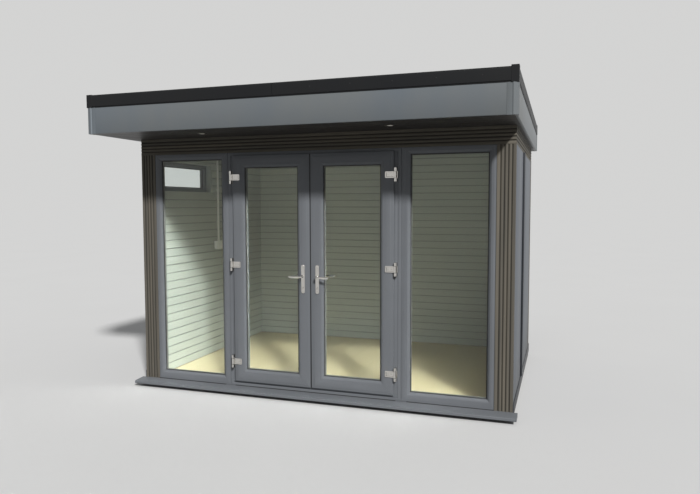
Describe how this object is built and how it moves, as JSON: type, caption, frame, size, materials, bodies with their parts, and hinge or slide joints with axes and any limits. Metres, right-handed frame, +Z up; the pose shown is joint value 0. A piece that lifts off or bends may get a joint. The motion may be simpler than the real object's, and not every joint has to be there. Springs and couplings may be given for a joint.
{
  "type": "garden office pod",
  "caption": "Flat-roofed garden room with a pair of glazed outward-opening doors between fixed side windows, fluted corner boards and a deep overhanging fascia.",
  "frame": {"origin": "centre of the walls' footprint, on the underside of the base", "axes": "+X to the right seen from the front, +Y from the doors into the depth, +Z up"},
  "size_m": [3.35, 2.962, 2.48],
  "materials": {
    "treated_timber": "stained dark, matt",
    "wall_core": "rough sawn",
    "wall_lining": "painted pale, matt",
    "floor": "satin",
    "frame_foil": "anthracite foil, satin",
    "fluted_board": "charcoal composite, matt",
    "cladding_panel": "smooth blue grey, satin",
    "dark_trim": "black, satin",
    "fascia_board": "grey, satin",
    "edge_trim": "black, satin",
    "roof_rubber": "matt",
    "glazing": "clear, faintly green",
    "hardware": "polished",
    "lamp_ring": "satin",
    "white_plastic": "white"
  },
  "bodies": {
    "pod": {"base_frame": "treated_timber", "front_cill": "frame_foil", "floor_boards": "floor", "left_wall": "wall_core", "right_wall": "wall_core", "back_wall": "wall_core", "front_corner_posts": "wall_core", "front_head_beam": "wall_core", "left_lining": "wall_lining", "right_lining": "wall_lining", "back_lining": "wall_lining", "ceiling_lining": "wall_lining", "head_beam_lining": "wall_lining", "left_cladding": "cladding_panel", "right_cladding": "cladding_panel", "back_cladding": "cladding_panel", "cladding_joint_strips": "dark_trim", "foot_flashing": "dark_trim", "front_corner_boards": "fluted_board", "rear_corner_boards": "fluted_board", "front_head_board": "fluted_board", "side_head_boards": "fluted_board", "rear_head_board": "fluted_board", "left_window_frame": "frame_foil", "right_window_frame": "frame_foil", "left_window_glass": "glazing", "right_window_glass": "glazing", "high_window_frame": "frame_foil", "high_window_glass": "glazing", "door_jambs": "frame_foil", "door_head": "frame_foil", "door_threshold": "frame_foil", "left_hinge_brackets": "hardware", "right_hinge_brackets": "hardware", "roof_deck": "wall_core", "roof_membrane": "roof_rubber", "soffit": "dark_trim", "front_fascia": "fascia_board", "rear_fascia": "fascia_board", "side_fascias": "fascia_board", "front_edge_trim": "edge_trim", "side_edge_trims": "edge_trim", "rear_edge_trim": "edge_trim", "downlights": "lamp_ring", "switch_box": "white_plastic", "switch_conduit": "white_plastic"},
    "left_door": {"left_leaf_frame": "frame_foil", "left_leaf_glass": "glazing", "left_hinge_flags": "hardware", "left_handle_plates": "hardware"},
    "left_lever_handle": {"left_lever": "hardware"},
    "right_door": {"right_leaf_frame": "frame_foil", "right_leaf_glass": "glazing", "right_hinge_flags": "hardware", "right_handle_plates": "hardware"},
    "right_lever_handle": {"right_lever": "hardware"}
  },
  "joints": [
    {"name": "left_door_swing", "type": "hinge", "parent": "pod", "child": "left_door", "pos_m": [-0.709, -1.131, 0], "axis": [0, 0, -1], "range_deg": [0, 110]},
    {"name": "left_lever_turn", "type": "hinge", "parent": "left_door", "child": "left_lever_handle", "pos_m": [-0.062, -1.12, 1.02], "axis": [0, -1, 0], "range_deg": [0, 40], "stiffness_Nm_per_rad": 2, "springref_deg": -17.19},
    {"name": "right_door_swing", "type": "hinge", "parent": "pod", "child": "right_door", "pos_m": [0.709, -1.131, 0], "axis": [0, 0, 1], "range_deg": [0, 110]},
    {"name": "right_lever_turn", "type": "hinge", "parent": "right_door", "child": "right_lever_handle", "pos_m": [0.062, -1.12, 1.02], "axis": [0, 1, 0], "range_deg": [0, 40], "stiffness_Nm_per_rad": 2, "springref_deg": -17.19}
  ]
}
